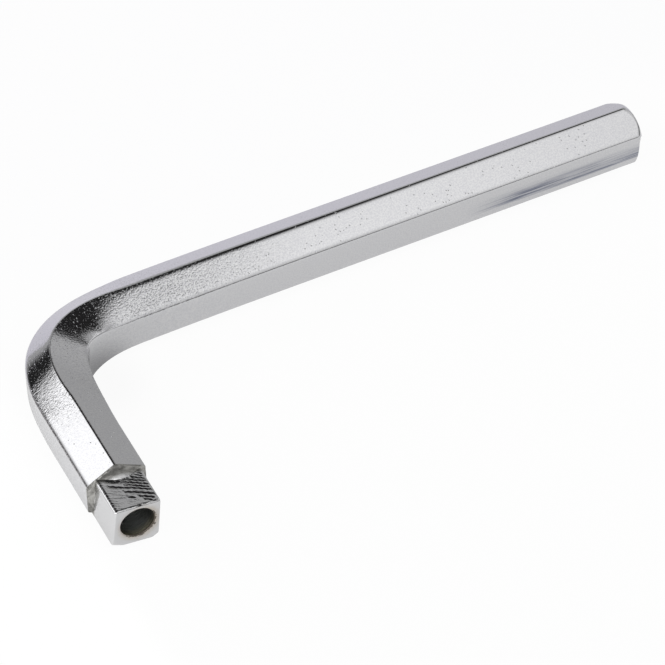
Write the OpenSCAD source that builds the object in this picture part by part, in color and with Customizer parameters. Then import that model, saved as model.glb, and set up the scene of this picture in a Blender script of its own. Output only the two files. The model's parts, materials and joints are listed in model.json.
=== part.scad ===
// Radiator spanner: one length of hexagon bar, bent square, with a domed tip on the long arm
// and a drilled square on the short arm. Millimetres. The spanner lies on the lower edge of
// its bar, +X runs to the tip of the long arm and -Y to the end of the short arm.

/* [Bar] */
// Width of the hexagon bar across its flats
hex_af = 12.7; // [11.5:0.1:14]
// Radius on the six long edges of the bar
edge_r = 0.6; // [0.3:0.1:1.2]
// Overall length along the long arm, measured over the bend
long_reach = 150.7; // [120:0.1:180]
// Overall length along the short arm, measured over the bend
short_reach = 59.7; // [54:0.1:75]
// Radius of the bend on the centre line of the bar
bend_r = 19; // [14:0.5:22]

/* [Long arm tip] */
// Radius of the dome turned on the tip
dome_r = 8.1; // [8.1:0.1:12]
// Diameter of the flat left at the end of the dome
tip_flat_d = 11.8; // [8:0.1:12]

/* [Square drive] */
// Width of the square between its inner and outer flats
square_w = 9.7; // [9:0.1:10.2]
// Height of the square between its upper and lower flats
square_h = 10.1; // [9:0.1:10.4]
// Length of the square, measured from the start of its shoulder
square_l = 9.8; // [9.5:0.1:14]
// Turn of the square out of line with the flats of the bar
square_twist = 5; // [0:0.5:8]
// Drop of the square's axis below the axis of the bar
square_drop = 0.45; // [0:0.05:0.5]
// Slope of the shoulder against the axis of the bar
shoulder_slope = 45; // [35:1:60]
// Bevel round the end face of the square
end_bevel = 0.4; // [0.2:0.1:0.6]

/* [Vent bore] */
// Diameter of the blind bore in the square
bore_d = 7.3; // [6:0.1:7.6]
// Depth of the round wall of the bore
bore_depth = 7; // [4:0.5:7]
// Point angle of the drill that made the bore
drill_angle = 118; // [118:1:140]

/* [Hidden] */

// Smoothness of the round surfaces
$fn = 96;
// Steps in the arc on each long edge of the bar
edge_steps = 4;
// Sides of the bar
hex_sides = 6;
// Slope of the bevel round the end face
bevel_slope = 45;
// Overlap of the shoulder inside the square, and of the cutters outside the metal
lap = 0.5;

// Half width of the bar, its corner radius before rounding and its height above the axis
hex_half = hex_af / 2;
hex_corner = hex_half / cos(180 / hex_sides);
edge_centre = hex_corner - edge_r / cos(180 / hex_sides);
axis_z = edge_centre + edge_r;

// Straight lengths of the arms between the bend and their ends
long_run = long_reach - hex_half - bend_r;
short_run = short_reach - hex_half - bend_r - square_l;

// Distance from the end of the long arm back to the centre of its dome
dome_back = sqrt(pow(dome_r, 2) - pow(tip_flat_d / 2, 2));

// Length in which the shoulder sinks inside the square
square_least = min(square_w, square_h) / 2 - square_drop;
shoulder_l = (hex_half - cos(180 / hex_sides) * square_least) / tan(shoulder_slope) + lap;

// Height of the cone that the drill point leaves
drill_h = bore_d / 2 / tan(drill_angle / 2);

// Place of the crossing of the two arm axes
crossing = [hex_half - long_reach / 2, short_reach / 2 - hex_half, axis_z];

// Section of the bar: a hexagon standing on one rounded corner
module bar_section() {
    polygon([
        for (corner = [0 : hex_sides - 1], step = [0 : edge_steps])
            let (
                middle = 90 + corner * 360 / hex_sides,
                turn = middle + (step / edge_steps - 0.5) * 360 / hex_sides
            )
            [
                edge_centre * cos(middle) + edge_r * cos(turn),
                edge_centre * sin(middle) + edge_r * sin(turn)
            ]
    ]);
}

// Straight bar standing on the XY plane
module bar(length) {
    linear_extrude(height = length)
        bar_section();
}

// Takes one sloping cut per side, each leaning in upwards from that side's half width
module lean_in(half_widths, slope) {
    reach = 2 * hex_af;
    difference() {
        children();
        for (side = [0 : len(half_widths) - 1])
            rotate([0, 0, side * 360 / len(half_widths)])
                translate([half_widths[side], 0, 0])
                    rotate([0, -slope, 0])
                        translate([0, -reach / 2, 0])
                            cube([reach, reach, reach]);
    }
}

// Sets the work at the place of the square: turned and dropped out of line with the bar
module on_square_axis() {
    translate([0, -square_drop, 0])
        rotate([0, 0, -square_twist])
            children();
}

// Square with a bevelled end, still wider than the bar at its corners
module square_blank() {
    on_square_axis()
        translate([0, 0, square_l - end_bevel])
            lean_in([square_w, square_h, square_w, square_h] / 2, bevel_slope)
                translate([-square_w / 2, -square_h / 2, end_bevel - square_l])
                    cube([square_w, square_h, square_l]);
}

// Sloping shoulder that runs from the hexagon down into the square
module shoulder() {
    lean_in([for (side = [1 : hex_sides]) hex_half], shoulder_slope)
        bar(shoulder_l);
}

// Blind bore with its drill point, cut from the end face
module vent_bore() {
    translate([0, 0, square_l])
        rotate_extrude()
            polygon([
                [0, lap],
                [0, -bore_depth - drill_h],
                [bore_d / 2, -bore_depth],
                [bore_d / 2, lap]
            ]);
}

// Straight hexagon of the long arm, with the dome on its tip
module long_arm() {
    color("gainsboro")
        translate(crossing + [bend_r, 0, 0])
            rotate([90, 0, 90])
                intersection() {
                    bar(long_run);
                    union() {
                        translate([0, 0, long_run - dome_back])
                            sphere(r = dome_r);
                        cylinder(r = dome_r, h = long_run - dome_back);
                    }
                }
}

// Quarter bend between the arms
module elbow() {
    color("gainsboro")
        translate(crossing + [bend_r, -bend_r, 0])
            rotate([0, 0, 90])
                rotate_extrude(angle = 90)
                    translate([bend_r, 0])
                        bar_section();
}

// Straight hexagon of the short arm
module short_arm() {
    color("gainsboro")
        translate(crossing - [0, bend_r, 0])
            rotate([90, 0, 0])
                bar(short_run);
}

// Drilled square on the end of the short arm, with its shoulder
module square_drive() {
    color("silver")
        translate(crossing - [0, bend_r + short_run, 0])
            rotate([90, 0, 0])
                difference() {
                    union() {
                        shoulder();
                        intersection() {
                            square_blank();
                            bar(square_l);
                        }
                    }
                    vent_bore();
                }
}

long_arm();
elbow();
short_arm();
square_drive();
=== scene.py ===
"""Looks of a radiator spanner: plated hexagon bar, bent square, with a drilled square on its short arm.

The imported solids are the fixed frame. The hexagon bar and the milled square are modelled here around
them, because the real bar thickens on the inside of its bend, its dome sits a little askew and its
square carries cutter marks and has a hollow neck.
"""

import json
import logging
import math
from dataclasses import dataclass
from enum import Enum
from typing import Any, Callable

import bmesh
import bpy
import numpy as np
from mathutils import Matrix, Vector


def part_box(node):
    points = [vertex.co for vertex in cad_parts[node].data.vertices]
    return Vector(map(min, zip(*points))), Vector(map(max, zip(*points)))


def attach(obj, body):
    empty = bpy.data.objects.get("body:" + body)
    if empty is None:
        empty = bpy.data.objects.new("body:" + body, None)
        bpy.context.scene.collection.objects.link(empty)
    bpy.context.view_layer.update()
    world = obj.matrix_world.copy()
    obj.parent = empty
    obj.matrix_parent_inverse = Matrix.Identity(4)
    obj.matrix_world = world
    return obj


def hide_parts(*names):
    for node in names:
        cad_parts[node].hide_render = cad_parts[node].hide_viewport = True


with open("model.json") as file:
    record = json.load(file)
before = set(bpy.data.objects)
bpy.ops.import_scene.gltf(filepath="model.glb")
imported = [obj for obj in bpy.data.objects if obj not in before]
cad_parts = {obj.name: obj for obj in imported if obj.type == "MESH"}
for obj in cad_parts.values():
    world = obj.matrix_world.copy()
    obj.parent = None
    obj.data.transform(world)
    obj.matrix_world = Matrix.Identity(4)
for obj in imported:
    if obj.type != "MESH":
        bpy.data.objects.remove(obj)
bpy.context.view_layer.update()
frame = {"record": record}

log = logging.getLogger("radiator_spanner")

Array = np.ndarray
Piece = bpy.types.Object
Socket = bpy.types.NodeSocket

MM = 0.001
HEX_SIDES = 6
WEAR_LAYER = "wear"
# Vertices that lie closer together than this, in metres, are one.
WELD = 1e-7
# Blender's own factor between the scale of a wave texture and the turns of its wave.
WAVE_FACTOR = 20
# Setting of a range node that eases in and out.
EASED = {"interpolation_type": "SMOOTHSTEP"}


class Slot(Enum):
    """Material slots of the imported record."""

    BAR = "plated_bar"
    SQUARE = "plated_square"


class Coordinates(Enum):
    """Coordinates that the patterns of a node tree lie on."""

    OBJECT = "Object"
    HEADING = "Generated"


def linear(code: str) -> tuple[float, float, float, float]:
    """Turns an sRGB colour into the linear colour that a shader takes.

    Args:
        code: the colour as "#rrggbb".

    Returns:
        Linear red, green and blue, and an alpha of one.
    """
    channels = []
    for start in (1, 3, 5):
        value = int(code[start:start + 2], 16) / 255
        channels.append(value / 12.92 if value <= 0.04045 else ((value + 0.055) / 1.055) ** 2.4)
    return channels[0], channels[1], channels[2], 1.0


class NodeBoard:
    """Node tree of a finish or of the light, with the coordinates that its patterns lie on."""

    def __init__(self, owner: bpy.types.Material | bpy.types.World, coordinates: Coordinates) -> None:
        """Empties the node tree of a material or a world.

        Args:
            owner: the material or world.
            coordinates: coordinates for its patterns.
        """
        owner.use_nodes = True
        self.tree = owner.node_tree
        self.tree.nodes.clear()
        self.place = self.add("TexCoord", output=coordinates.value)

    def add(
        self, kind: str, inputs: dict | None = None, output: int | str = 0, **settings: Any
    ) -> Socket | None:
        """Adds one shader node with its settings, values and links.

        Args:
            kind: class name of the node without its ShaderNode prefix.
            inputs: value, or socket to link from, for each input by name or by number in Blender's order.
            output: name or number of the output that is wanted.
            settings: attributes of the node itself.

        Returns:
            The output, through which its node is reached, or None where the node has none.
        """
        node = self.tree.nodes.new("ShaderNode" + kind)
        for name, value in settings.items():
            setattr(node, name, value)
        for key, value in (inputs or {}).items():
            if isinstance(value, Socket):
                self.tree.links.new(value, node.inputs[key])
            else:
                node.inputs[key].default_value = value
        return node.outputs[output] if node.outputs else None

    def close_metal(self, colour: Socket, roughness: Any, height: Socket) -> None:
        """Ends the tree as a bare or plated metal.

        Args:
            colour: colour of the metal.
            roughness: one number, or a socket where it varies.
            height: height of the skin, in metres.
        """
        bump = self.add("Bump", {"Strength": 1.0, "Distance": 1.0, "Height": height})
        metal = self.add(
            "BsdfPrincipled", {"Base Color": colour, "Roughness": roughness, "Metallic": 1.0, "Normal": bump}
        )
        self.add("OutputMaterial", {0: metal})


def smooth_step(low: float, high: float, value: Array) -> Array:
    """Rises smoothly from 0 at low to 1 at high, or falls where low is the greater."""
    share = np.clip((value - low) / (high - low), 0, 1)
    return share * share * (3 - 2 * share)


def soft_min(first: Array, second: Array, reach: float) -> Array:
    """Takes the lesser of two lengths, with the corner between them rounded over a reach."""
    near = np.clip(reach - np.abs(first - second), 0, None) / reach
    return np.minimum(first, second) - near * near * reach / 4


def soft_max(first: Array, second: Array, reach: float) -> Array:
    """Takes the greater of two lengths, with the corner between them filled over a reach."""
    return -soft_min(-first, -second, reach)


def outline(turn: Array, normals: Array, half_widths: list, sharpness: Any) -> Array:
    """Gives the radius of a rounded polygon round the bar's axis.

    Args:
        turn: direction of each point from the axis, in radians.
        normals: direction that each flat faces, in radians.
        half_widths: distance of each flat from the axis, one number or one per point.
        sharpness: exponent of the blend between neighbouring flats, one number or one per point. A higher
            one has sharper corners.

    Returns:
        Radius of the outline in each direction.
    """
    least = min(np.min(half_width) for half_width in half_widths)
    total = np.zeros_like(turn)
    for facing, half_width in zip(normals, half_widths):
        total += (np.clip(np.cos(turn - facing), 0, None) * least / half_width) ** sharpness
    return least * total ** (-1 / sharpness)


def start_edit(select: str) -> None:
    """Opens the active object for editing with its faces or vertices as the thing picked."""
    bpy.ops.object.mode_set(mode="EDIT")
    bpy.ops.mesh.select_mode(type=select)


def stop_edit() -> None:
    """Closes edit mode."""
    bpy.ops.object.mode_set(mode="OBJECT")


def points_of(piece: Piece) -> Array:
    """Reads the places of a piece's vertices."""
    flat = np.empty(len(piece.data.vertices) * 3)
    piece.data.vertices.foreach_get("co", flat)
    return flat.reshape(-1, 3)


def move_points(piece: Piece, points: Array) -> None:
    """Moves a piece's vertices to new places."""
    piece.data.vertices.foreach_set("co", points.ravel())
    piece.data.update()


def finish_mesh(piece: Piece, crease: float) -> None:
    """Turns a mesh's faces outwards and shades it smooth up to a crease.

    Args:
        piece: the finished mesh object.
        crease: least angle that stays a sharp edge, in radians.
    """
    bpy.ops.object.select_all(action="DESELECT")
    piece.select_set(True)
    bpy.context.view_layer.objects.active = piece
    start_edit("VERT")
    bpy.ops.mesh.select_all(action="SELECT")
    bpy.ops.mesh.remove_doubles(threshold=WELD)
    bpy.ops.mesh.normals_make_consistent(inside=False)
    stop_edit()
    bpy.ops.object.shade_smooth_by_angle(angle=crease)


@dataclass(frozen=True)
class BarLines:
    """Centre line and section of the bent bar, in metres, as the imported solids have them."""

    axis_x: float
    axis_y: float
    axis_z: float
    hex_half: float
    bend_x: float
    bend_y: float
    shoulder_y: float
    end_y: float
    tip_x: float

    @classmethod
    def of_frame(cls) -> "BarLines":
        """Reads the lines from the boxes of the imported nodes."""
        long_low, long_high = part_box("long_arm")
        short_low, short_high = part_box("short_arm")
        square_low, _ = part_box("square_drive")
        return cls(
            axis_x=(short_low.x + short_high.x) / 2,
            axis_y=(long_low.y + long_high.y) / 2,
            axis_z=(long_low.z + long_high.z) / 2,
            hex_half=(long_high.y - long_low.y) / 2,
            bend_x=long_low.x,
            bend_y=short_high.y,
            shoulder_y=short_low.y,
            end_y=square_low.y,
            tip_x=long_high.x,
        )

    @property
    def bend_r(self) -> float:
        """Radius of the bend on the centre line."""
        return self.bend_x - self.axis_x

    @property
    def short_run(self) -> float:
        """Straight length of the short arm."""
        return self.bend_y - self.shoulder_y

    @property
    def bend_run(self) -> float:
        """Length of the centre line in the bend."""
        return self.bend_r * math.pi / 2

    @property
    def long_run(self) -> float:
        """Straight length of the long arm."""
        return self.tip_x - self.bend_x

    def from_corner(self, off: tuple) -> tuple[float, float, float]:
        """Gives the point at an offset from where the axes of the two arms cross."""
        return self.axis_x + off[0], self.axis_y + off[1], self.axis_z + off[2]

    def draw_disc(self, corners: int, radius: float) -> None:
        """Adds a disc across the bar at the start of the shoulder, as the active object.

        Args:
            corners: number of corners of the disc.
            radius: distance of the corners from the axis.
        """
        bpy.ops.object.select_all(action="DESELECT")
        bpy.ops.mesh.primitive_circle_add(
            vertices=corners,
            radius=radius,
            fill_type="NGON",
            location=(self.axis_x, self.shoulder_y, self.axis_z),
            rotation=(math.pi / 2, 0, 0),
        )
        bpy.ops.object.transform_apply(location=True, rotation=True, scale=True)

    def unroll(self, points: Array) -> tuple[Array, Array, Array]:
        """Straightens points of the bar out along its centre line.

        Args:
            points: places in the part's frame.

        Returns:
            Length from the start of the shoulder, distance towards the outside of the bend, and height.
        """
        x, y = points[:, 0], points[:, 1]
        on_long = x >= self.bend_x
        on_short = ~on_long & (y <= self.bend_y)
        turn = np.arctan2(y - self.bend_y, self.bend_x - x)
        along = self.short_run + self.bend_r * turn
        out = np.hypot(y - self.bend_y, self.bend_x - x) - self.bend_r
        along = np.where(on_long, self.short_run + self.bend_run + x - self.bend_x, along)
        along = np.where(on_short, y - self.shoulder_y, along)
        out = np.where(on_long, y - self.axis_y, out)
        out = np.where(on_short, self.axis_x - x, out)
        return along, out, points[:, 2] - self.axis_z


@dataclass(frozen=True)
class PressedLine:
    """Centre line of the real bend, in metres.

    The bar was pressed round a small former, so the bend is tight at its middle and opens out slowly
    towards both arms, with a last trace of it some way along the long arm. Lengths along this line
    start where the bend does.
    """

    lines: BarLines
    short_ease: float = 18.9 * MM
    long_ease: float = 19.0 * MM
    trace: float = 0.012
    trace_run: float = 45 * MM
    squeeze_power: float = 0.7
    squeeze_blend: float = 5 * MM
    swell_flat: float = 5 * MM
    swell_short: float = 28 * MM
    steps: int = 9000

    def tightness(self, along: Array) -> Array:
        """Gives the curvature as a share of the tightest, from 0 on the arms to 1 at the middle."""
        ends = np.cumsum([0, self.short_ease, self.long_ease, self.trace_run])
        return np.interp(along, ends, [0, 1, self.trace, 0])

    def path(self) -> tuple[Array, Array, Array, Array]:
        """Follows the centre line from before the shoulder to past the tip.

        Returns:
            Length along the line, heading, and the x and y of close points on it.
        """
        lines = self.lines
        reach = lines.long_run + lines.bend_run + lines.short_run
        along = np.linspace(-reach, 2 * reach, self.steps)
        step = along[1] - along[0]
        heading = np.cumsum(self.tightness(along)) * step
        heading *= math.pi / 2 / heading[-1]
        x = np.cumsum(np.sin(heading)) * step
        y = np.cumsum(np.cos(heading)) * step
        return along, heading, x - x[0] + lines.axis_x, y - y[-1] + lines.axis_y

    def stretch(self, plain: Array) -> Array:
        """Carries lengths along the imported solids' round bend over to this line.

        Args:
            plain: length from the shoulder along the round bend.

        Returns:
            Length along this line.
        """
        lines = self.lines
        along, _, x, y = self.path()
        shoulder = np.interp(lines.shoulder_y, y, along)
        tip = np.interp(lines.tip_x, x, along)
        stops = np.cumsum([0, lines.short_run, lines.bend_run, lines.long_run])
        return np.interp(plain, stops, [shoulder, 0, self.short_ease + self.long_ease, tip])

    def swell(self, along: Array, long_run: Array) -> Array:
        """Gives the swelling on the inside of the bend, as a share of the most.

        Args:
            along: length along the line.
            long_run: length from the middle of the bend to the end of the swelling on the long arm.

        Returns:
            Share for each point.
        """
        off = along - self.short_ease
        short_share = (-off - self.swell_flat) / (self.swell_short - self.swell_flat)
        share = np.where(off < 0, short_share, off / long_run)
        return np.cos(np.clip(share, 0, 1) * math.pi / 2) ** 2

    def squeeze(self, along: Array) -> Array:
        """Gives how far the section is pressed out of shape, as a share of the most."""
        path = self.path()[0]
        share = self.tightness(path) ** self.squeeze_power
        window = np.hanning(round(self.squeeze_blend / (path[1] - path[0])))
        share = np.convolve(share, window / window.sum(), mode="same")
        return np.interp(along, path, share / share.max())

    def place(self, along: Array, out: Array, up: Array) -> Array:
        """Sets straightened points round the centre line.

        Args:
            along: length along the line.
            out: distance towards the outside of the bend.
            up: height above the axis.

        Returns:
            Places in the part's frame.
        """
        path, heading, x, y = self.path()
        turn = np.interp(along, path, heading)
        return np.column_stack((
            np.interp(along, path, x) - out * np.cos(turn),
            np.interp(along, path, y) + out * np.sin(turn),
            up + self.lines.axis_z,
        ))


@dataclass(frozen=True)
class BarEdges:
    """Sharpness of the bar's six long edges, as the exponent of the blend between its flats."""

    bend: float = 22
    shoulder: float = 64
    tip: float = 56
    outer: float = 20
    inner_top: float = 150
    lower: float = 160
    foot: float = 54
    blend_far: float = math.radians(25)
    blend_near: float = math.radians(10)

    def sharpness(self, turn: Array, shoulderward: Any, tipward: Any) -> Array:
        """Gives the sharpness of the edge that is nearest to each point.

        Args:
            turn: direction of each point from the axis, from the outside of the bend towards the top.
            shoulderward: 1 on the short arm and 0 on the long arm, with a blend in the bend.
            tipward: share of the way from the bend to the tip.

        Returns:
            Exponent for each point.
        """
        sharp = np.full_like(turn, self.bend) + (self.tip - self.bend) * tipward
        sharp = sharp + (self.shoulder - sharp) * shoulderward
        outer = self.lower + (self.outer - self.lower) * shoulderward
        inner_top = sharp + (self.inner_top - sharp) * shoulderward
        levels = ((30, outer), (150, inner_top), (-30, self.lower), (-90, self.foot), (-150, self.lower))
        for edge, level in levels:
            off = np.cos(turn - math.radians(edge))
            near = smooth_step(math.cos(self.blend_far), math.cos(self.blend_near), off)
            sharp = sharp + (level - sharp) * near
        return sharp


@dataclass
class HexagonBar:
    """Bent hexagon bar: the long arm with its domed tip, the bend and the short arm."""

    lines: BarLines
    line: PressedLine
    edges: BarEdges
    name: str = "hexagon_bar"
    edge_cut: float = 0.35 * MM
    edge_steps: int = 6
    flat_cuts: int = 16
    arm_step: float = 2 * MM
    bend_steps: int = 80
    tip_zone: float = 3.4 * MM
    tip_steps: int = 48
    bend_sharpness: float = 60
    foot_start: float = 0.7
    ridge_shift: float = 0.92 * MM
    ridge_blend: float = 0.08
    outer_shift: float = -0.42 * MM
    inner_shift: float = -0.5 * MM
    outer_squash: float = -0.19
    inner_rise: float = 0.475
    inner_sink: float = 0.285
    ridge_run: float = 26 * MM
    edge_run: float = 16 * MM
    under_run: float = 20 * MM
    dome_r: float = 8.46 * MM
    dome_back: float = 6.05 * MM
    dome_blend: float = 0.3 * MM
    dome_lip: float = 0.25 * MM
    dome_lean: float = 0.4 * MM
    tip_askew: float = 0.03
    tip_over: float = 0.12 * MM
    tip_step: float = 0.85 * MM
    step_high: float = 3.35 * MM
    step_low: float = 2.8 * MM
    step_fill: float = 0.95 * MM
    crease: float = math.radians(40)
    wear_half: float = math.radians(2.4)
    wear_start: float = 14 * MM
    wear_full: float = 5 * MM

    def build(self) -> Piece:
        """Models the bar.

        Returns:
            The finished mesh object.
        """
        self._draw_section()
        self._pull_arms()
        bar = bpy.context.active_object
        bar.name = self.name
        along, out, up = self.lines.unroll(points_of(bar))
        along = self.line.stretch(along)
        wear = self._wear(along, np.arctan2(up, out))
        bar.data.attributes.new(WEAR_LAYER, "FLOAT", "POINT").data.foreach_set("value", wear)
        out, up = self._press_bend(along, out, up)
        along, out, up = self._turn_dome(along, out, up)
        move_points(bar, self.line.place(along, out, up))
        finish_mesh(bar, self.crease)
        return bar

    def _wear(self, along: Array, turn: Array) -> Array:
        """Gives the wear of the ridge and the outer edge, which lies on the short arm alone.

        Args:
            along: length along the pressed line.
            turn: direction from the axis, from the outside of the bend towards the top.

        Returns:
            Wear from 0 to 1.
        """
        off = np.minimum(np.abs(turn - math.pi / 2), np.abs(turn - math.pi / 6))
        on_short = smooth_step(self.wear_start, self.wear_full, along)
        return np.clip(1 - off / self.wear_half, 0, 1) * on_short

    def _draw_section(self) -> None:
        """Draws the rounded hexagon at the start of the shoulder, with each flat cut into strips."""
        half = self.lines.hex_half
        self.lines.draw_disc(HEX_SIDES, half / math.cos(math.pi / HEX_SIDES))
        start_edit("VERT")
        bpy.ops.mesh.select_all(action="SELECT")
        bpy.ops.mesh.bevel(
            affect="VERTICES",
            offset_type="ABSOLUTE",
            offset=self.edge_cut,
            segments=self.edge_steps,
            profile=0.5,
        )
        bpy.ops.mesh.select_mode(type="EDGE")
        bpy.ops.mesh.select_all(action="DESELECT")
        drawing = bmesh.from_edit_mesh(bpy.context.active_object.data)
        for edge in drawing.edges:
            edge.select_set(edge.calc_length() > half / 2)
        bpy.ops.mesh.subdivide(number_cuts=self.flat_cuts)
        stop_edit()

    def _pull_arms(self) -> None:
        """Pulls the section along the short arm, round the bend and along the long arm."""
        lines = self.lines
        start_edit("FACE")
        bpy.ops.mesh.select_all(action="SELECT")
        self._pull(lines.short_run, round(lines.short_run / self.arm_step), Vector((0, 1, 0)))
        bpy.ops.mesh.spin(
            steps=self.bend_steps,
            angle=math.pi / 2,
            center=(lines.bend_x, lines.bend_y, lines.axis_z),
            axis=(0, 0, 1),
        )
        plain = lines.long_run - self.tip_zone
        self._pull(plain, round(plain / self.arm_step), Vector((1, 0, 0)))
        self._pull(self.tip_zone, self.tip_steps, Vector((1, 0, 0)))
        stop_edit()

    def _pull(self, length: float, steps: int, heading: Vector) -> None:
        """Extrudes the picked face in equal steps.

        Args:
            length: whole length to pull.
            steps: number of steps.
            heading: unit direction of the pull.
        """
        move = tuple(heading * (length / steps))
        for _ in range(steps):
            bpy.ops.mesh.extrude_region_move(TRANSFORM_OT_translate={"value": move})

    def _press_bend(self, along: Array, out: Array, up: Array) -> tuple[Array, Array]:
        """Rounds the long edges and gives the bend the warped section of hot-bent bar.

        Bending squeezes the inside taller and stretches the outside thinner, and draws the ridges
        outwards, while the edges soften.

        Args:
            along: length along the pressed line.
            out: distance towards the outside of the bend.
            up: height above the axis.

        Returns:
            The new distance towards the outside and the new height.
        """
        half = self.lines.hex_half
        share = self.line.squeeze(along)
        turn = np.arctan2(up, out)
        normals = np.arange(HEX_SIDES) * math.tau / HEX_SIDES
        foot = smooth_step(-self.foot_start * half, -half, up)
        bend_end = self.line.short_ease + self.line.long_ease
        shoulderward = smooth_step(bend_end, self.line.short_ease, along)
        tipward = np.clip((along - bend_end) / (along.max() - bend_end), 0, 1)
        sharp = outline(turn, normals, [half] * HEX_SIDES, self.edges.sharpness(turn, shoulderward, tipward))
        soft = outline(turn, normals, [half] * HEX_SIDES, self.bend_sharpness)
        soft = soft + (sharp - soft) * foot
        radius = sharp + (soft - sharp) * share
        out, up = radius * np.cos(turn), radius * np.sin(turn)
        across = out / half
        spread = np.sqrt(across ** 2 + self.ridge_blend ** 2) - self.ridge_blend
        outer, inner = (spread + across) / 2, (spread - across) / 2
        edge_up = half * math.tan(math.pi / HEX_SIDES)
        top_run = self.ridge_run + (self.edge_run - self.ridge_run) * inner
        swollen = self.line.swell(along, np.where(up > 0, top_run, self.under_run))
        pressed = self.line.swell(along, np.full_like(along, self.under_run))
        swell = np.where(up > 0, self.inner_rise, self.inner_sink)
        swell = swell * inner * swollen + self.outer_squash * outer * share
        rise = np.clip(up / edge_up, -1, 1) * edge_up * swell
        shift = self.ridge_shift * (1 - outer - inner) + self.outer_shift * outer
        return out + share * shift + pressed * self.inner_shift * inner, up + rise

    def _turn_dome(self, along: Array, out: Array, up: Array) -> tuple[Array, Array, Array]:
        """Draws the tip in to its dome and sets the end a little askew.

        Args:
            along: length along the pressed line.
            out: distance towards the outside of the bend.
            up: height above the axis.

        Returns:
            The new length along the line, distance towards the outside and height.
        """
        back = along.max() - along
        radius = np.hypot(out, up)
        depth = np.clip(self.dome_back - back, 0, None)
        lower = smooth_step(self.step_high, self.step_low, up)
        lean = self.dome_lean + (self.step_fill - self.dome_lean) * lower
        dome = np.sqrt(self.dome_r ** 2 - depth ** 2) - lean * np.clip(out / radius, -1, 0)
        lip = np.clip(1 - back / self.dome_lip, 0, 1)
        dome -= self.dome_lip * (1 - np.sqrt(1 - lip * lip))
        scale = np.where(back < self.tip_zone, soft_min(radius, dome, self.dome_blend) / radius, 1)
        near = smooth_step(self.tip_zone, 0, back)
        out, up = out * scale, up * scale
        askew = self.tip_over + self.tip_askew * (up - self.lines.hex_half) - self.tip_step * lower
        return along + askew * near, out, up

    def dress(self, bar: Piece, finish: "PittedPlate") -> None:
        """Gives the bar its finish and its place in the frame.

        Args:
            bar: the finished mesh object.
            finish: the plating.
        """
        bar.data.materials.clear()
        bar.data.materials.append(finish.material())
        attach(bar, "root")
        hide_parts("long_arm", "elbow", "short_arm")


@dataclass(frozen=True)
class MilledFlat:
    """One flat of the square: its distance, and the way it faces, from the inside of the bend upwards."""

    facing: float
    half: float


@dataclass(frozen=True)
class CutterMark:
    """One scratch on the upper flat: its place along the bar, and where it starts and stops across."""

    along: float
    start: float
    stop: float


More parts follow.
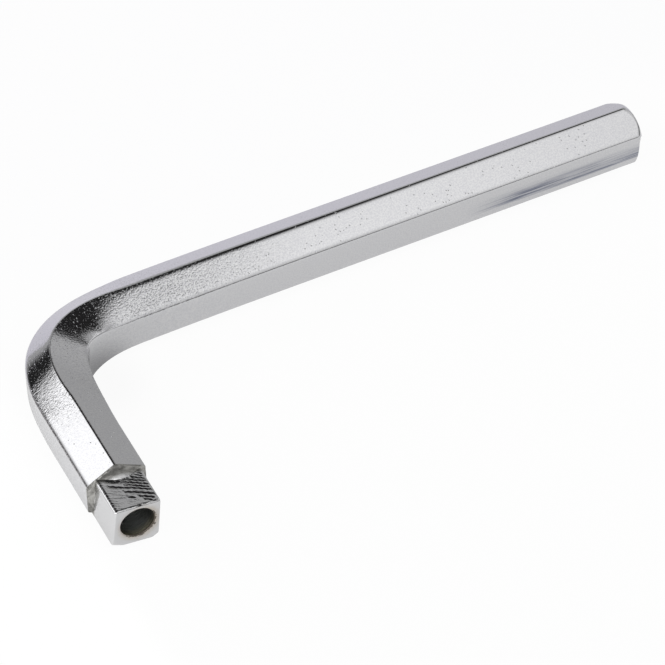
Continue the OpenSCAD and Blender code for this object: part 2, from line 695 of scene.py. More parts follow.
@dataclass
class MilledSquare:
    """Square milled on the end of the short arm, with its shoulder and the drilled bore."""

    lines: BarLines
    edges: BarEdges
    bore_r: float
    bore_depth: float
    name: str = "milled_square"
    steps_round: int = 480
    ring_step: float = 0.085 * MM
    inner: MilledFlat = MilledFlat(math.radians(-5), 4.98 * MM)
    upper: MilledFlat = MilledFlat(math.radians(83), 4.5 * MM)
    outer: MilledFlat = MilledFlat(math.radians(173), 5.12 * MM)
    lower: MilledFlat = MilledFlat(math.radians(261.5), 5.82 * MM)
    corner_sharpness: float = 90
    upper_corner: float = math.radians(37)
    upper_sharpness: float = 18
    lower_corner: float = math.radians(-55)
    lower_sharpness: float = 11
    corner_far: float = math.radians(35)
    corner_near: float = math.radians(12)
    lower_spread: float = 0.65 * MM
    spread_start: float = 1.5 * MM
    spread_end: float = 4.0 * MM
    neck_start: float = 0.2 * MM
    neck_round: float = 3.0 * MM
    neck_fill: float = 0.15 * MM
    crest_round: float = 0.18 * MM
    bevel_run: float = 0.6 * MM
    bevel_lead: float = 0.4 * MM
    bevel_slope: float = math.radians(30)
    end_round: float = 0.18 * MM
    mark_lay: float = 0.45
    mark_width: float = 0.6 * MM
    mark_depth: float = 0.14 * MM
    mark_back: float = 4
    mark_ends: tuple = (0.8 * MM, 0.3 * MM)
    mark_middle: float = 0.75
    mark_gain: float = 0.06 / MM
    mark_least: float = 0.5
    ragged: tuple = (0.07 * MM, 0.06 * MM)
    ragged_across: tuple = (0.31 * MM, 0.83 * MM)
    ragged_along: float = 0.2 * MM
    marks: tuple = (
        CutterMark(-0.6 * MM, 3.3 * MM, 5.2 * MM),
        CutterMark(0.05 * MM, 2.9 * MM, 5.2 * MM),
        CutterMark(0.75 * MM, 2.4 * MM, 5.2 * MM),
        CutterMark(1.45 * MM, 1.3 * MM, 4.9 * MM),
        CutterMark(2.3 * MM, -2.2 * MM, 4.9 * MM),
        CutterMark(3.15 * MM, -3.9 * MM, 4.8 * MM),
        CutterMark(3.95 * MM, -0.8 * MM, 4.2 * MM),
        CutterMark(4.7 * MM, -3.9 * MM, 4.8 * MM),
        CutterMark(5.95 * MM, -1.6 * MM, 4.7 * MM),
        CutterMark(7.0 * MM, 0.5 * MM, 4.0 * MM),
        CutterMark(7.45 * MM, -1.6 * MM, 0.5 * MM),
        CutterMark(7.8 * MM, 1.2 * MM, 3.3 * MM),
    )
    face_shares: tuple = (0.2, 0.6, 0.9, 1.0)
    rim_round: float = 0.14 * MM
    rim_shares: tuple = (0.3, 0.6, 0.85, 1.0)
    bore_rings: int = 30
    bore_slack: float = 0.01 * MM
    bore_margin: float = 0.1 * MM
    point_shares: tuple = (0.25, 0.5, 0.75, 0.995)
    drill_point: float = math.radians(59)
    crease: float = math.radians(50)

    @property
    def length(self) -> float:
        """Length of the square with its shoulder."""
        return self.lines.shoulder_y - self.lines.end_y

    def build(self) -> Piece:
        """Models the square.

        Returns:
            The finished mesh object.
        """
        self.lines.draw_disc(self.steps_round, self.lines.hex_half)
        square = bpy.context.active_object
        square.name = self.name
        start_edit("FACE")
        bpy.ops.mesh.select_all(action="SELECT")
        self._draw_ring(square, 0.0, self._flank)
        for step in range(1, round(self.length / self.ring_step) + 1):
            self._next_ring(square, step * self.ring_step, self._flank)
        self._sink_bore(square)
        stop_edit()
        finish_mesh(square, self.crease)
        return square

    def _next_ring(self, square: Piece, depth: float, shape: Callable) -> None:
        """Extrudes the picked face and draws it to an outline.

        Args:
            square: the piece that is open for editing.
            depth: distance of the new ring from the start of the shoulder.
            shape: gives the radius for a direction and a depth.
        """
        bpy.ops.mesh.extrude_region_move(TRANSFORM_OT_translate={"value": (0, 0, 0)})
        self._draw_ring(square, depth, shape)

    def _draw_ring(self, square: Piece, depth: float, shape: Callable) -> None:
        """Moves the picked ring of vertices to an outline.

        Args:
            square: the piece that is open for editing.
            depth: distance of the ring from the start of the shoulder.
            shape: gives the radius for a direction and a depth.
        """
        lines = self.lines
        mesh = bmesh.from_edit_mesh(square.data)
        ring = [vertex for vertex in mesh.verts if vertex.select]
        turn = np.array([math.atan2(v.co.z - lines.axis_z, v.co.x - lines.axis_x) for v in ring])
        radius = shape(turn, depth)
        for vertex, angle, reach in zip(ring, turn, radius):
            vertex.co = (
                lines.axis_x + reach * math.cos(angle),
                lines.shoulder_y - depth,
                lines.axis_z + reach * math.sin(angle),
            )
        bmesh.update_edit_mesh(square.data)

    def _flank(self, turn: Array, depth: float) -> Array:
        """Gives the outline of the neck and the square.

        The neck is turned hollow with a round tool, and the four flats are milled up to it.

        Args:
            turn: direction of each point from the bar's axis.
            depth: distance from the start of the neck.

        Returns:
            Radius in each direction.
        """
        half = self.lines.hex_half
        hexagon = np.arange(HEX_SIDES) * math.tau / HEX_SIDES
        bar = outline(turn, hexagon, [half] * HEX_SIDES, self.edges.sharpness(math.pi - turn, 1.0, 0.0))
        if depth == 0:
            return bar
        hollow = min(max(self.neck_round + self.neck_start - depth, 0), self.neck_round)
        neck = half / math.cos(math.pi / HEX_SIDES) - math.sqrt(self.neck_round ** 2 - hollow ** 2)
        lead = max(depth - self.length + self.bevel_run, 0)
        lip = min(max(1 - (self.length - depth) / self.end_round, 0), 1)
        eased = min(lead, self.bevel_lead) ** 2 / (2 * self.bevel_lead) + max(lead - self.bevel_lead, 0)
        bevel = eased * math.tan(self.bevel_slope) + self.end_round * (1 - math.sqrt(1 - lip * lip))
        flats = [self.inner, self.upper, self.outer, self.lower]
        halves = [flat.half - bevel for flat in flats]
        across = np.tan(np.clip(self.upper.facing - turn, -1, 1)) * self.upper.half
        halves[1] = halves[1] - self._marks(across, depth)
        sharpness = np.full_like(turn, self.corner_sharpness)
        worn = ((self.upper_corner, self.upper_sharpness), (self.lower_corner, self.lower_sharpness))
        for corner, level in worn:
            sharpness += (level - sharpness) * self._near(turn, corner)
        square = outline(turn, np.array([flat.facing for flat in flats]), halves, sharpness)
        spread = self.lower_spread * float(smooth_step(self.spread_start, self.spread_end, depth))
        limit = bar - bevel + spread * self._near(turn, self.lower_corner)
        cut = soft_max(square, np.full_like(turn, neck), self.neck_fill)
        return np.minimum(soft_min(cut, limit, self.crest_round), limit)

    def _near(self, turn: Array, corner: float) -> Array:
        """Gives how near each direction is to a corner, from 0 far off to 1 near it."""
        return smooth_step(math.cos(self.corner_far), math.cos(self.corner_near), np.cos(turn - corner))

    def _marks(self, across: Array, depth: float) -> Array:
        """Gives the depth of the ragged cutter marks on the upper flat.

        Each mark sinks slowly towards the end of the bar and comes back steeply, and grows deeper
        towards the inside of the bend.

        Args:
            across: distance of each point across the flat, towards the inside of the bend.
            depth: distance from the start of the neck.

        Returns:
            Depth of the marks.
        """
        fine, coarse = (across / run for run in self.ragged_across)
        lay = depth - self.mark_lay * across + self.ragged[0] * np.sin(fine + depth / self.ragged_along)
        lay += self.ragged[1] * np.sin(coarse)
        rise, fall = self.mark_ends
        deepest = np.zeros_like(across)
        for mark in self.marks:
            off = (lay - mark.along) / self.mark_width
            sink = np.clip(np.where(off < 0, 1 + off, 1 - self.mark_back * off), 0, 1)
            ends = smooth_step(0, rise, across - mark.start) * smooth_step(0, fall, mark.stop - across)
            deepest = np.maximum(deepest, sink * ends)
        strength = np.clip(self.mark_middle + self.mark_gain * across, self.mark_least, 1)
        return self.mark_depth * deepest * strength

    def _sink_bore(self, square: Piece) -> None:
        """Closes the end face to the mouth of the bore and sinks the bore to its drill point.

        Args:
            square: the piece that is open for editing.
        """
        mouth = self.bore_r + self.rim_round
        end = self.length
        for share in self.face_shares:
            self._next_ring(
                square, end, lambda turn, depth, s=share: self._flank(turn, depth) * (1 - s) + mouth * s
            )
        rings = []
        for share in self.rim_shares:
            sink = self.rim_round * (1 - math.sqrt(1 - share * share))
            rings.append((self.rim_round * share, mouth - sink))
        for depth in np.linspace(self.rim_round, self.bore_depth, self.bore_rings)[1:]:
            rings.append((depth, self.bore_r))
        point = self.bore_r / math.tan(self.drill_point)
        for share in self.point_shares:
            rings.append((self.bore_depth + point * share, self.bore_r * (1 - share)))
        for depth, radius in rings:
            self._next_ring(square, end - depth, lambda turn, depth, r=radius: np.full_like(turn, r))

    def dress(self, square: Piece, flats: "MilledPlate", bore: "DrilledSteel") -> None:
        """Gives the square its finishes and its place in the frame.

        Args:
            square: the finished mesh object.
            flats: the plating of the outside.
            bore: the bare wall of the bore.
        """
        lines = self.lines
        square.data.materials.clear()
        square.data.materials.append(flats.material())
        square.data.materials.append(bore.material())
        for face in square.data.polygons:
            off = math.hypot(face.center.x - lines.axis_x, face.center.z - lines.axis_z)
            inside = off < self.bore_r + self.bore_slack
            sunk = lines.end_y + self.bore_margin < face.center.y < lines.shoulder_y - self.bore_margin
            face.material_index = int(inside and sunk)
        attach(square, "root")
        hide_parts("square_drive")


@dataclass(frozen=True)
class PittedPlate:
    """Bright chromium plate over hot-bent, unpolished hexagon bar.

    The plate is mirror bright, but it copies the skin under it: the scale of the hot bend shows as fine
    speckles that thin out along the arms, its stretched outside is wrinkled, the long arm next to it is
    frosted, small pits lie in loose groups, one flat was ground in streaks near the tip, which leave bluish
    lines along the arm, and the edges of the short arm are worn brown. The real grain of the scale is too
    fine to show, so it is drawn at a third of a millimetre.
    """

    lines: BarLines
    name: str = "bright chromium plate over hot-bent bar"
    colour: str = "#d9d9da"
    dull_colour: str = "#d0d0d3"
    streak_colour: str = "#586078"
    wear_colour: str = "#30251c"
    roughness: tuple = (0.04, 0.08)
    grain: float = 0.33 * MM
    grain_height: float = 0.022 * MM
    grain_limits: tuple = (0.3, 0.7)
    speckle: float = 0.3 * MM
    speckle_height: float = 0.018 * MM
    speckle_limits: tuple = (0.58, 0.74)
    scale_place: tuple = (3.5 * MM, -7 * MM, 0.0)
    scale_stretch: tuple = (1.0, 2.3, 1.0)
    scale_reach: tuple = (14 * MM, 62 * MM)
    scale_least: float = 0.05
    calm_reach: tuple = (10 * MM, 17.5 * MM)
    calm_levels: tuple = (0.42, 1.4)
    wrinkle: float = 0.55 * MM
    wrinkle_height: float = 0.045 * MM
    wrinkle_place: tuple = (-3 * MM, -19.5 * MM, 5 * MM)
    wrinkle_reach: tuple = (3 * MM, 8.5 * MM)
    wrinkle_stretch: tuple = (0.5, 1.0, 0.5)
    frost: float = 0.09
    frost_rise: tuple = (9 * MM, 21 * MM)
    frost_fall: tuple = (64 * MM, 24 * MM)
    pit_spacing: float = 0.8 * MM
    pit_depth: float = 0.035 * MM
    pit_limits: tuple = (0.08, 0.22)
    pit_group: float = 9 * MM
    pit_share: float = 0.5
    streak: float = 0.36 * MM
    streak_stretch: tuple = (0.03, 1.0, 1.0)
    streak_limits: tuple = (0.4, 0.6)
    streak_least: float = 0.3
    streak_roughness: float = 0.15
    streak_run: tuple = (29 * MM, 46 * MM)
    streak_above: tuple = (9.4 * MM, 5.5 * MM)
    streak_under: tuple = (4.7 * MM, 5.5 * MM)
    streak_skin: tuple = (0.3 * MM, 0.1 * MM)
    wear_limits: tuple = (0.35, 0.55)
    wear_least: float = 0.55

    def material(self) -> bpy.types.Material:
        """Builds the finish.

        Returns:
            The material.
        """
        material = bpy.data.materials.new(self.name)
        nodes = NodeBoard(material, Coordinates.OBJECT)
        grain = nodes.add("TexNoise", {"Vector": nodes.place, "Scale": 1 / self.grain, "Detail": 0.0})
        low, high = self.grain_limits
        dull = nodes.add("MapRange", {0: grain, 1: low, 2: high})
        streak = self._streaks(nodes)
        bright, dim = self.roughness
        roughness = nodes.add("MapRange", {0: dull, 3: bright, 4: dim})
        for share, extra in ((streak, self.streak_roughness), (self._frost(nodes), self.frost)):
            roughness = nodes.add("Math", {0: share, 1: extra, 2: roughness}, operation="MULTIPLY_ADD")
        low, high = self.wear_limits
        patchy = nodes.add("MapRange", {0: grain, 1: low, 2: high, 3: self.wear_least})
        worn = nodes.add("Attribute", output="Fac", attribute_name=WEAR_LAYER)
        worn = nodes.add("Math", {0: worn, 1: patchy}, operation="MULTIPLY")
        colour = linear(self.colour)
        layers = ((dull, self.dull_colour), (streak, self.streak_colour), (worn, self.wear_colour))
        for share, code in layers:
            colour = nodes.add("MixRGB", {0: share, 1: colour, 2: linear(code)})
        nodes.close_metal(colour, roughness, self._skin(nodes, grain))
        return material

    def _skin(self, nodes: NodeBoard, grain: Socket) -> Socket:
        """Adds the grain and the speckles of the hot bend and the loose pits.

        Args:
            nodes: node tree of the finish.
            grain: fine noise of the skin.

        Returns:
            Height of the skin, in metres.
        """
        low, high = self.speckle_limits
        speckle = nodes.add("TexNoise", {"Vector": nodes.place, "Scale": 1 / self.speckle, "Detail": 1.0})
        speckle = nodes.add("MapRange", {0: speckle, 1: low, 2: high, 4: self.speckle_height}, **EASED)
        skin = nodes.add("Math", {0: grain, 1: self.grain_height, 2: speckle}, operation="MULTIPLY_ADD")
        for share in self._scale(nodes):
            skin = nodes.add("Math", {0: skin, 1: share}, operation="MULTIPLY")
        skin = nodes.add("Math", {0: skin, 1: self._wrinkles(nodes)}, operation="ADD")
        cells = nodes.add("TexVoronoi", {"Vector": nodes.place, "Scale": 1 / self.pit_spacing}, "Distance")
        low, high = self.pit_limits
        pit = nodes.add("MapRange", {0: cells, 1: low, 2: high, 3: -self.pit_depth, 4: 0.0}, **EASED)
        groups = nodes.add("TexNoise", {"Vector": nodes.place, "Scale": 1 / self.pit_group})
        kinds = nodes.add("SeparateColor", {0: cells.node.outputs["Color"]})
        for share in (groups, kinds):
            chosen = nodes.add("Math", {0: share, 1: self.pit_share}, operation="GREATER_THAN")
            pit = nodes.add("Math", {0: pit, 1: chosen}, operation="MULTIPLY")
        return nodes.add("Math", {0: pit, 1: skin}, operation="ADD")

    def _scale(self, nodes: NodeBoard) -> tuple[Socket, Socket]:
        """Adds how the scale thins out along the arms, and how it is calmer in the middle of the bend.

        Args:
            nodes: node tree of the finish.

        Returns:
            Share of the scale that is there, and share that the middle leaves of it.
        """
        bend = self.lines.from_corner(self.scale_place)
        away = nodes.add("VectorMath", {0: nodes.place, 1: bend}, operation="SUBTRACT")
        off = nodes.add("VectorMath", {0: away}, "Value", operation="LENGTH")
        away = nodes.add("VectorMath", {0: away, 1: self.scale_stretch}, operation="MULTIPLY")
        far = nodes.add("VectorMath", {0: away}, "Value", operation="LENGTH")
        near, end = self.scale_reach
        scaly = nodes.add("MapRange", {0: far, 1: near, 2: end, 3: 1.0, 4: self.scale_least}, **EASED)
        near, end = self.calm_reach
        core, rim = self.calm_levels
        return scaly, nodes.add("MapRange", {0: off, 1: near, 2: end, 3: core, 4: rim})

    def _wrinkles(self, nodes: NodeBoard) -> Socket:
        """Adds the wrinkles across the bar where the outside of the bend was stretched.

        Args:
            nodes: node tree of the finish.

        Returns:
            Height of the wrinkles, in metres.
        """
        outside = self.lines.from_corner(self.wrinkle_place)
        off = nodes.add("VectorMath", {0: nodes.place, 1: outside}, "Value", operation="DISTANCE")
        near, end = self.wrinkle_reach
        deep = nodes.add("MapRange", {0: off, 1: near, 2: end, 3: self.wrinkle_height, 4: 0.0}, **EASED)
        drawn = nodes.add("VectorMath", {0: nodes.place, 1: self.wrinkle_stretch}, operation="MULTIPLY")
        fold = nodes.add(
            "TexNoise", {"Vector": drawn, "Scale": 1 / self.wrinkle, "Detail": 1.0, "Distortion": 1.0}
        )
        return nodes.add("Math", {0: fold, 1: deep}, operation="MULTIPLY")

    def _frost(self, nodes: NodeBoard) -> Socket:
        """Adds the frosted skin of the long arm next to the bend.

        Args:
            nodes: node tree of the finish.

        Returns:
            Strength of the frosting.
        """
        along = nodes.add("SeparateXYZ", {0: nodes.place})
        origin = self.lines.axis_x
        rise, fall = (
            nodes.add("MapRange", {0: along, 1: origin + start, 2: origin + stop})
            for start, stop in (self.frost_rise, self.frost_fall)
        )
        return nodes.add("Math", {0: rise, 1: fall}, operation="MULTIPLY")

    def _streaks(self, nodes: NodeBoard) -> Socket:
        """Adds the ground streaks on the inner flat near the tip.

        Args:
            nodes: node tree of the finish.

        Returns:
            Strength of the streaks.
        """
        along, out, up = nodes.add("SeparateXYZ", {0: nodes.place}).node.outputs
        drawn = nodes.add("VectorMath", {0: nodes.place, 1: self.streak_stretch}, operation="MULTIPLY")
        thread = nodes.add("TexNoise", {"Vector": drawn, "Scale": 1 / self.streak, "Detail": 2.0})
        low, high = self.streak_limits
        strength = nodes.add("MapRange", {0: thread, 1: low, 2: high, 3: self.streak_least})
        limits = ((up, self.streak_above), (up, self.streak_under), (along, self.streak_run))
        for axis, (start, stop) in limits:
            share = nodes.add("MapRange", {0: axis, 1: start, 2: stop}, **EASED)
            strength = nodes.add("Math", {0: strength, 1: share}, operation="MULTIPLY")
        flat = self.lines.axis_y - self.lines.hex_half
        start, stop = (flat + depth for depth in self.streak_skin)
        on_flat = nodes.add("MapRange", {0: out, 1: start, 2: stop})
        return nodes.add("Math", {0: strength, 1: on_flat}, operation="MULTIPLY")


@dataclass(frozen=True)
class MilledPlate:
    """Bright chromium plate over milled flats.

    The cutter left fine scratches across the upper flat, the turned neck is dull and mottled, and the
    plate thins to a warm tint and a ragged brown burr round the mouth of the bore.
    """

    lines: BarLines
    upper: MilledFlat
    bore_r: float
    name: str = "bright chromium plate over milled flats"
    colour: str = "#d6d6d7"
    tint: str = "#b3a48f"
    tint_off: float = 0.4 * MM
    tint_reach: float = 1.6 * MM
    tint_level: float = 0.9
    burr_colour: str = "#4a4032"
    burr: float = 0.32 * MM
    burr_limits: tuple = (0.3, 0.7)
    burr_level: float = 0.85
    cloud: float = 0.5 * MM
    roughness: float = 0.14
    neck_colours: tuple = ("#7c7b78", "#b2b1ad")
    neck_roughness: float = 0.36
    neck_depth: float = 0.95 * MM
    neck_fade: float = 0.6 * MM
    neck_stretch: tuple = (0.35, 1.0, 0.35)
    neck_limits: tuple = (0.35, 0.65)
    mottle: float = 0.4 * MM
    mottle_height: float = 0.03 * MM
    mottle_share: float = 1.2
    scratch: float = 0.45 * MM
    scratch_depth: float = 0.025 * MM
    scratch_lay: float = -0.42
    scratch_stretch: tuple = (8.0, 1.0, 1.0)
    scratch_limits: tuple = (0.5, 0.72)
    scratch_skin: tuple = (0.2 * MM, 0.1 * MM)

    def material(self) -> bpy.types.Material:
        """Builds the finish.

        Returns:
            The material.
        """
        material = bpy.data.materials.new(self.name)
        nodes = NodeBoard(material, Coordinates.OBJECT)
        along = nodes.add("SeparateXYZ", {0: nodes.place}, 1)
        ends = self.lines.shoulder_y - self.neck_depth
        neck = nodes.add("MapRange", {0: along, 1: ends - self.neck_fade, 2: ends})
        turned = nodes.add("VectorMath", {0: nodes.place, 1: self.neck_stretch}, operation="MULTIPLY")
        patchy = nodes.add("TexNoise", {"Vector": turned, "Scale": 1 / self.mottle, "Detail": 3.0})
        low, high = self.neck_limits
        patchy = nodes.add("MapRange", {0: patchy, 1: low, 2: high})
        dark, light = self.neck_colours
        dull = nodes.add("MixRGB", {0: patchy, 1: linear(dark), 2: linear(light)})
        warm, burr = self._mouth(nodes)
        colour = linear(self.colour)
        for share, layer in ((warm, linear(self.tint)), (burr, linear(self.burr_colour)), (neck, dull)):
            colour = nodes.add("MixRGB", {0: share, 1: colour, 2: layer})
        roughness = nodes.add("MapRange", {0: neck, 3: self.roughness, 4: self.neck_roughness})
        nodes.close_metal(colour, roughness, self._skin(nodes, neck))
        return material

    def _off_mouth(self, nodes: NodeBoard, drop: float) -> Socket:
        """Adds the distance from the mouth of the bore, moved by a drop towards its lower inner side."""
        mouth = (self.lines.axis_x + drop, self.lines.end_y, self.lines.axis_z - drop)
        return nodes.add("VectorMath", {0: nodes.place, 1: mouth}, "Value", operation="DISTANCE")

    def _mouth(self, nodes: NodeBoard) -> tuple[Socket, Socket]:
        """Adds the warm halo and the ragged burr round the mouth of the bore.

        Args:
            nodes: node tree of the finish.

        Returns:
            Strength of the halo and strength of the burr.
        """
        cloud = nodes.add("TexNoise", {"Vector": nodes.place, "Scale": 1 / self.cloud, "Detail": 2.0})
        off = self._off_mouth(nodes, self.tint_off)
        edge = self.bore_r + self.tint_reach
        warm = nodes.add("MapRange", {0: off, 1: edge, 2: self.bore_r, 4: self.tint_level}, **EASED)
        warm = nodes.add("Math", {0: warm, 1: cloud}, operation="MULTIPLY")
        low, high = self.burr_limits
        ragged = nodes.add("MapRange", {0: cloud, 1: low, 2: high, 3: -self.burr, 4: self.burr})
        off = nodes.add("Math", {0: self._off_mouth(nodes, self.burr), 1: ragged}, operation="ADD")
        edge = self.bore_r + self.burr / 2
        return warm, nodes.add("MapRange", {0: off, 1: edge, 2: self.bore_r, 4: self.burr_level})

    def _skin(self, nodes: NodeBoard, neck: Socket) -> Socket:
        """Adds the scratches of the upper flat and the mottled skin of the neck.

        Args:
            nodes: node tree of the finish.
            neck: 1 on the neck and 0 on the flats.

        Returns:
            Height of the skin, in metres.
        """
        axis = (self.lines.axis_x, 0.0, self.lines.axis_z)
        facing = (math.cos(self.upper.facing), 0.0, math.sin(self.upper.facing))
        rise = nodes.add("VectorMath", {0: nodes.place, 1: axis}, operation="SUBTRACT")
        rise = nodes.add("VectorMath", {0: rise, 1: facing}, "Value", operation="DOT_PRODUCT")
        start, full = (self.upper.half - depth for depth in self.scratch_skin)
        deep = nodes.add("MapRange", {0: rise, 1: start, 2: full, 4: -self.scratch_depth})
        laid = nodes.add(
            "Mapping",
            {"Vector": nodes.place, "Rotation": (0.0, 0.0, self.scratch_lay), "Scale": self.scratch_stretch},
            vector_type="TEXTURE",
        )
        scratch = nodes.add("TexNoise", {"Vector": laid, "Scale": 1 / self.scratch, "Detail": 2.0})
        low, high = self.scratch_limits
        scratch = nodes.add("MapRange", {0: scratch, 1: low, 2: high})
        mottle = nodes.add("TexNoise", {"Vector": nodes.place, "Scale": 1 / self.mottle, "Detail": 1.0})
        scratch = nodes.add("Math", {0: mottle, 1: self.mottle_share, 2: scratch}, operation="MULTIPLY_ADD")
        scratch = nodes.add("Math", {0: scratch, 1: deep}, operation="MULTIPLY")
        mottle = nodes.add("Math", {0: mottle, 1: self.mottle_height}, operation="MULTIPLY")
        return nodes.add("Math", {0: mottle, 1: neck, 2: scratch}, operation="MULTIPLY_ADD")


@dataclass(frozen=True)
class DrilledSteel:
    """Bare drilled steel in the bore.

    It is brownish and lighter at the mouth, darker further in with painted shade, and has faint feed rings.
    """

    lines: BarLines
    name: str = "drilled steel with painted shade inside"
    # Brownish steel at the mouth, fading to a darker grey deeper in: painted shade in the bore.
    lit_brown_mouth: str = "#c9c2ae"
    colour: str = "#9c9e9d"
    painted_shade_run: float = 2.2 * MM
    roughness: float = 0.34
    ring_pitch: float = 0.6 * MM
    ring_height: float = 0.055 * MM
    ring_waver: float = 1.5

    def material(self) -> bpy.types.Material:
        """Builds the finish.

        Returns:
            The material.
        """
        material = bpy.data.materials.new(self.name)
        nodes = NodeBoard(material, Coordinates.OBJECT)
        scale = math.tau / (WAVE_FACTOR * self.ring_pitch)
        rings = nodes.add(
            "TexWave",
            {"Vector": nodes.place, "Scale": scale, "Distortion": self.ring_waver, "Detail": 3.0},
            "Fac",
            wave_type="BANDS",
            bands_direction="Y",
        )
        height = nodes.add("Math", {0: rings, 1: self.ring_height}, operation="MULTIPLY")
        along = nodes.add("SeparateXYZ", {0: nodes.place}, 1)
        mouth = self.lines.end_y
        # Painted shade: the wall darkens from the mouth inwards.
        depth = nodes.add("MapRange", {0: along, 1: mouth, 2: mouth + self.painted_shade_run}, **EASED)
        colour = nodes.add("MixRGB", {0: depth, 1: linear(self.lit_brown_mouth), 2: linear(self.colour)})
        nodes.close_metal(colour, self.roughness, height)
        return material


def compass(azimuth: float, elevation: float) -> tuple[float, float, float]:
    """Gives the unit vector to a bearing, in degrees from +Y towards +X, and a height above the horizon."""
    turn, rise = math.radians(azimuth), math.radians(elevation)
    return math.cos(rise) * math.sin(turn), math.cos(rise) * math.cos(turn), math.sin(rise)


@dataclass(frozen=True)
class CeilingEdge:
    """Edge of the dark ceiling: its bearing in degrees, its distance in ceiling heights and its blur."""

    azimuth: float
    reach: float
    blend: float


@dataclass(frozen=True)
class SoftPanel:
    """Round soft light: bearing, height and the half angles where its fade starts and ends, in degrees."""

    azimuth: float
    elevation: float
    core: float
    rim: float
    level: float


@dataclass(frozen=True)
class WallGap:
    """Dark gap in the grey surround: its bearing, the half angles of its core and rim, and its depth.

    Angles are in degrees. It opens between two heights, given as sines of their elevations.
    """

    azimuth: float
    core: float
    rim: float
    depth: float
    shut_height: float
    open_height: float


@dataclass(frozen=True)
class Studio:
    """Pale floor with painted shade, soft panels round a dark ceiling, a grey surround, and the camera."""

    ceiling: tuple = (
        CeilingEdge(155, 0.33, 0.3),
        CeilingEdge(-43, 1.12, 0.2),
        CeilingEdge(43, 0.89, 0.24),
        CeilingEdge(223, 0.6, 0.25),
    )
    panels: tuple = (
        SoftPanel(-60, 40, 16.5, 31, 1.5),
        SoftPanel(132, 66, 0, 14, 0.23),
        SoftPanel(132, 66, 0, 60, 0.5),
        SoftPanel(-115, 48, 25, 45, 1.5),
        SoftPanel(82, 38, 6, 18, 0.46),
    )
    gaps: tuple = (
        WallGap(-36.5, 11, 21.5, 1.0, 0.03, 0.17),
        WallGap(163, 6, 16, 0.7, 0.4, 0.28),
        WallGap(100, 8, 18, 0.75, 0.82, 0.72),
        WallGap(75, 6, 30, 0.25, 0.3, 0.65),
    )
    wall_level: float = 0.43
    dark_level: float = 0.02
    horizon: float = 0.02
    matt_gain: float = 2.5
    floor_half: float = 4.0
    # Lit floor on the left, where the light comes from, and painted shade on the inner side of the bar, with
    # the edge between them.
    lit_and_shaded_floor: tuple = ("#f9f9f9", "#d6d6d6")
    painted_shade_edge: tuple = (-79 * MM, -72 * MM)
    # Painted lilac shade on the floor behind the object, darker towards the tip, as a card that curves up
    # would be shaded.
    painted_back_shade_tones: tuple = ("#c9c6d2", "#b6b4be")
    painted_back_shade_y: tuple = (30 * MM, 60 * MM)
    painted_back_shade_x: tuple = (-40 * MM, 110 * MM)
    # Painted shadow of the bar on the floor in the corner between the arms.
    painted_corner_shadow: str = "#5a5a5a"
    painted_shadow_centre: tuple = (-58 * MM, 13 * MM, 0.0)
    painted_shadow_fade: tuple = (13 * MM, 3 * MM)
    camera_fill: float = 0.95
    mirror_fill: float = 0.27
    fill_colour: str = "#ffffff"
    camera_place: tuple = (-0.204129, -0.368281, 0.436210)
    camera_heading: tuple = (0.32288, 0.61480, -0.71956)
    camera_roll: float = math.radians(0.285)
    lens: float = 156.08
    sensor: float = 36.0

    def build(self) -> None:
        """Sets up the floor, the light and the camera."""
        self._lay_floor()
        self._light()
        self._place_camera()
        bpy.context.scene.view_settings.view_transform = "Standard"

    def _lay_floor(self) -> None:
        """Lays the floor with painted shade. Camera and mirror rays see it nearly white, with the object's
        shadow kept.
        """
        bpy.ops.object.select_all(action="DESELECT")
        bpy.ops.mesh.primitive_plane_add(size=2 * self.floor_half, location=(0, 0, 0))
        floor = bpy.context.active_object
        floor.name = "floor"
        material = bpy.data.materials.new("pale matt card with painted shade")
        nodes = NodeBoard(material, Coordinates.OBJECT)
        rays = nodes.add("LightPath").node.outputs
        mirrored = nodes.add(
            "Math", {0: rays["Is Glossy Ray"], 1: rays["Is Transmission Ray"]}, operation="MAXIMUM"
        )
        mirrored = nodes.add("Math", {0: mirrored, 1: self.mirror_fill}, operation="MULTIPLY")
        fill = nodes.add(
            "Math", {0: rays["Is Camera Ray"], 1: self.camera_fill, 2: mirrored}, operation="MULTIPLY_ADD"
        )
        card = nodes.add("BsdfDiffuse", {"Color": self._paint_floor_shade(nodes)})
        white = nodes.add("Emission", {"Color": linear(self.fill_colour), "Strength": 1.0})
        both = nodes.add("MixShader", {0: fill, 1: card, 2: white})
        nodes.add("OutputMaterial", {0: both})
        floor.data.materials.append(material)

    def _paint_floor_shade(self, nodes: NodeBoard) -> Socket:
        """Adds the floor's colour with its painted shade and painted shadow.

        It is palest on the left, where the light comes from, has painted shade on the inner side of the bar,
        turns to a painted lilac shade behind the object that darkens towards the tip, and has a painted
        shadow in the corner between the arms.

        Args:
            nodes: node tree of the floor.

        Returns:
            Colour of the floor, with its painted shade and painted shadow.
        """
        x, y, _ = nodes.add("SeparateXYZ", {0: nodes.place}).node.outputs
        near, far = self.painted_back_shade_tones
        start, stop = self.painted_back_shade_x
        shade = nodes.add("MapRange", {0: x, 1: start, 2: stop})
        shade = nodes.add("MixRGB", {0: shade, 1: linear(near), 2: linear(far)})
        off = nodes.add("VectorMath", {0: nodes.place, 1: self.painted_shadow_centre}, "Value", operation="DISTANCE")
        pale, dim = self.lit_and_shaded_floor
        tone = linear(pale)
        # Painted shade and painted shadow laid over the lit floor colour.
        layers = (
            (x, self.painted_shade_edge, linear(dim)),
            (y, self.painted_back_shade_y, shade),
            (off, self.painted_shadow_fade, linear(self.painted_corner_shadow)),
        )
        for axis, (start, stop), colour in layers:
            share = nodes.add("MapRange", {0: axis, 1: start, 2: stop}, **EASED)
            tone = nodes.add("MixRGB", {0: share, 1: tone, 2: colour})
        return tone

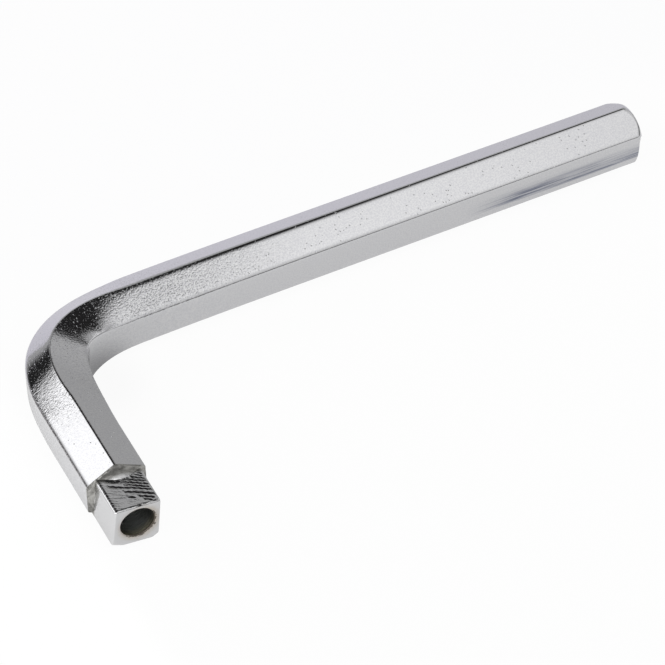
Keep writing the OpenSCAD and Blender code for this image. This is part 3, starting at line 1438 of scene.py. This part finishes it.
    def _light(self) -> None:
        """Lights the scene by soft panels round a dark ceiling, with a grey surround below them."""
        world = bpy.data.worlds.new("studio")
        bpy.context.scene.world = world
        nodes = NodeBoard(world, Coordinates.HEADING)
        light = self._add_panels(nodes, self._add_wall(nodes))
        light = nodes.add(
            "Math", {0: light, 1: self._add_opening(nodes), 2: self.dark_level}, operation="MULTIPLY_ADD"
        )
        rays = nodes.add("LightPath").node.outputs
        light = nodes.add("Math", {0: light, 1: rays["Is Camera Ray"]}, operation="MAXIMUM")
        strength = nodes.add("MapRange", {0: rays["Is Diffuse Ray"], 3: 1.0, 4: self.matt_gain})
        nodes.add("OutputWorld", {0: nodes.add("Background", {"Color": light, "Strength": strength})})

    def _add_wall(self, nodes: NodeBoard) -> Socket:
        """Adds the grey surround with its dark gaps.

        Args:
            nodes: node tree of the light.

        Returns:
            Brightness of the surround.
        """
        height = nodes.add("SeparateXYZ", {0: nodes.place}, 2)
        level = nodes.add("VectorMath", {0: nodes.place, 1: (1, 1, 0)}, operation="MULTIPLY")
        level = nodes.add("VectorMath", {0: level}, operation="NORMALIZE")
        light = self.wall_level
        for gap in self.gaps:
            ajar = nodes.add("MapRange", {0: height, 1: gap.shut_height, 2: gap.open_height}, **EASED)
            toward = nodes.add(
                "VectorMath", {0: level, 1: compass(gap.azimuth, 0)}, "Value", operation="DOT_PRODUCT"
            )
            rim, core = math.cos(math.radians(gap.rim)), math.cos(math.radians(gap.core))
            dark = nodes.add("MapRange", {0: toward, 1: rim, 2: core, 4: gap.depth}, **EASED)
            dark = nodes.add("Math", {0: dark, 1: ajar}, operation="MULTIPLY")
            wall = nodes.add("MapRange", {0: dark, 3: self.wall_level, 4: 0.0})
            light = nodes.add("Math", {0: light, 1: wall}, operation="MINIMUM")
        return light

    def _add_panels(self, nodes: NodeBoard, light: Socket) -> Socket:
        """Adds the soft panels.

        Args:
            nodes: node tree of the light.
            light: brightness without them.

        Returns:
            Brightness with them.
        """
        for panel in self.panels:
            facing = compass(panel.azimuth, panel.elevation)
            toward = nodes.add("VectorMath", {0: nodes.place, 1: facing}, "Value", operation="DOT_PRODUCT")
            away = nodes.add("Math", {0: toward}, operation="ARCCOSINE")
            core, rim = math.radians(panel.core), math.radians(panel.rim)
            glow = nodes.add("MapRange", {0: away, 1: core, 2: rim, 3: panel.level, 4: 0.0})
            light = nodes.add("Math", {0: light, 1: glow}, operation="ADD")
        return light

    def _add_opening(self, nodes: NodeBoard) -> Socket:
        """Adds the dark ceiling, as the share of the light that passes beyond its edges.

        Args:
            nodes: node tree of the light.

        Returns:
            0 under the ceiling and 1 beyond it.
        """
        rise = nodes.add("SeparateXYZ", {0: nodes.place}, 2)
        rise = nodes.add("Math", {0: rise, 1: self.horizon}, operation="MAXIMUM")
        spread = nodes.add("Math", {0: 1.0, 1: rise}, operation="DIVIDE")
        overhead = nodes.add("VectorMath", {0: nodes.place, "Scale": spread}, operation="SCALE")
        opening = 0.0
        for edge in self.ceiling:
            reach = nodes.add(
                "VectorMath", {0: overhead, 1: compass(edge.azimuth, 0)}, "Value", operation="DOT_PRODUCT"
            )
            start, stop = edge.reach - edge.blend / 2, edge.reach + edge.blend / 2
            beyond = nodes.add("MapRange", {0: reach, 1: start, 2: stop}, **EASED)
            opening = nodes.add("Math", {0: opening, 1: beyond}, operation="MAXIMUM")
        return opening

    def _place_camera(self) -> None:
        """Stands the camera where the photograph was taken from."""
        data = bpy.data.cameras.new("camera")
        data.lens = self.lens
        data.sensor_width = self.sensor
        camera = bpy.data.objects.new("camera", data)
        bpy.context.scene.collection.objects.link(camera)
        turn = Vector(self.camera_heading).to_track_quat("-Z", "Y").to_matrix().to_4x4()
        roll = Matrix.Rotation(self.camera_roll, 4, "Z")
        camera.matrix_world = Matrix.Translation(self.camera_place) @ turn @ roll
        bpy.context.scene.camera = camera


def main() -> None:
    """Builds the spanner and the studio round it."""
    logging.basicConfig(level=logging.INFO)
    lines = BarLines.of_frame()
    bore = next(mount for mount in frame["record"]["mounts"] if mount["name"] == "vent_bore")["dims"]
    Studio().build()
    edges = BarEdges()
    bar_maker = HexagonBar(lines, PressedLine(lines), edges)
    bar = bar_maker.build()
    bar_maker.dress(bar, PittedPlate(lines))
    log.info("%s: %d faces", bar.name, len(bar.data.polygons))
    square_maker = MilledSquare(lines, edges, bore_r=bore["r_mm"] * MM, bore_depth=bore["length_mm"] * MM)
    square = square_maker.build()
    flats = MilledPlate(lines, square_maker.upper, square_maker.bore_r)
    square_maker.dress(square, flats, DrilledSteel(lines))
    log.info("%s: %d faces", square.name, len(square.data.polygons))


if __name__ == "__main__":
    main()
